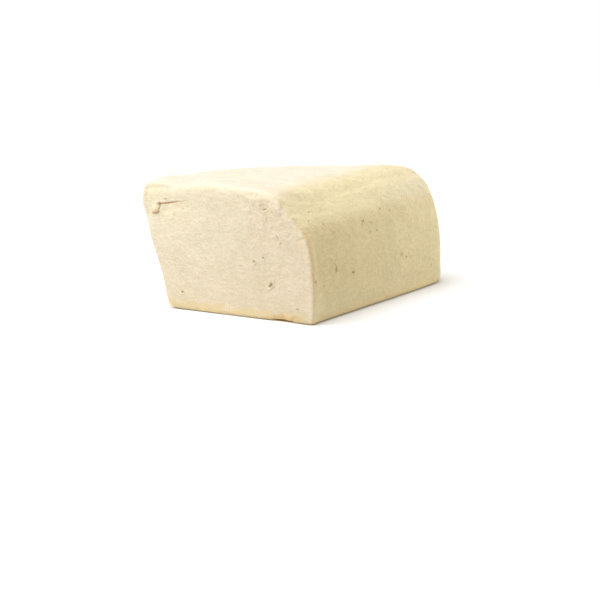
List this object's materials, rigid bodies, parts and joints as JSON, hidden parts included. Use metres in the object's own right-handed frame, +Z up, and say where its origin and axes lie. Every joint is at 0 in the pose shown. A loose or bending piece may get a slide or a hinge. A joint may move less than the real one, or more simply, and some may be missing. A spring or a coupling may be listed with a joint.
{
  "type": "tofu block",
  "caption": "Block of firm tofu cut from a pressed slab, with a flat cut face, a broad bevel along the top right and rounded corners at the back.",
  "frame": {"origin": "centre of the block's bounding box, on the flat base that it rests on", "axes": "+Y runs along the block, away from the cut face; +X points to the side with the pressed skin and the bevel; +Z is up"},
  "size_m": [0.0944, 0.1332, 0.0597],
  "materials": {
    "tofu": "moist matt cream bean curd with fine pores"
  },
  "bodies": {
    "root": {"tofu_block": "tofu"}
  },
  "joints": []
}
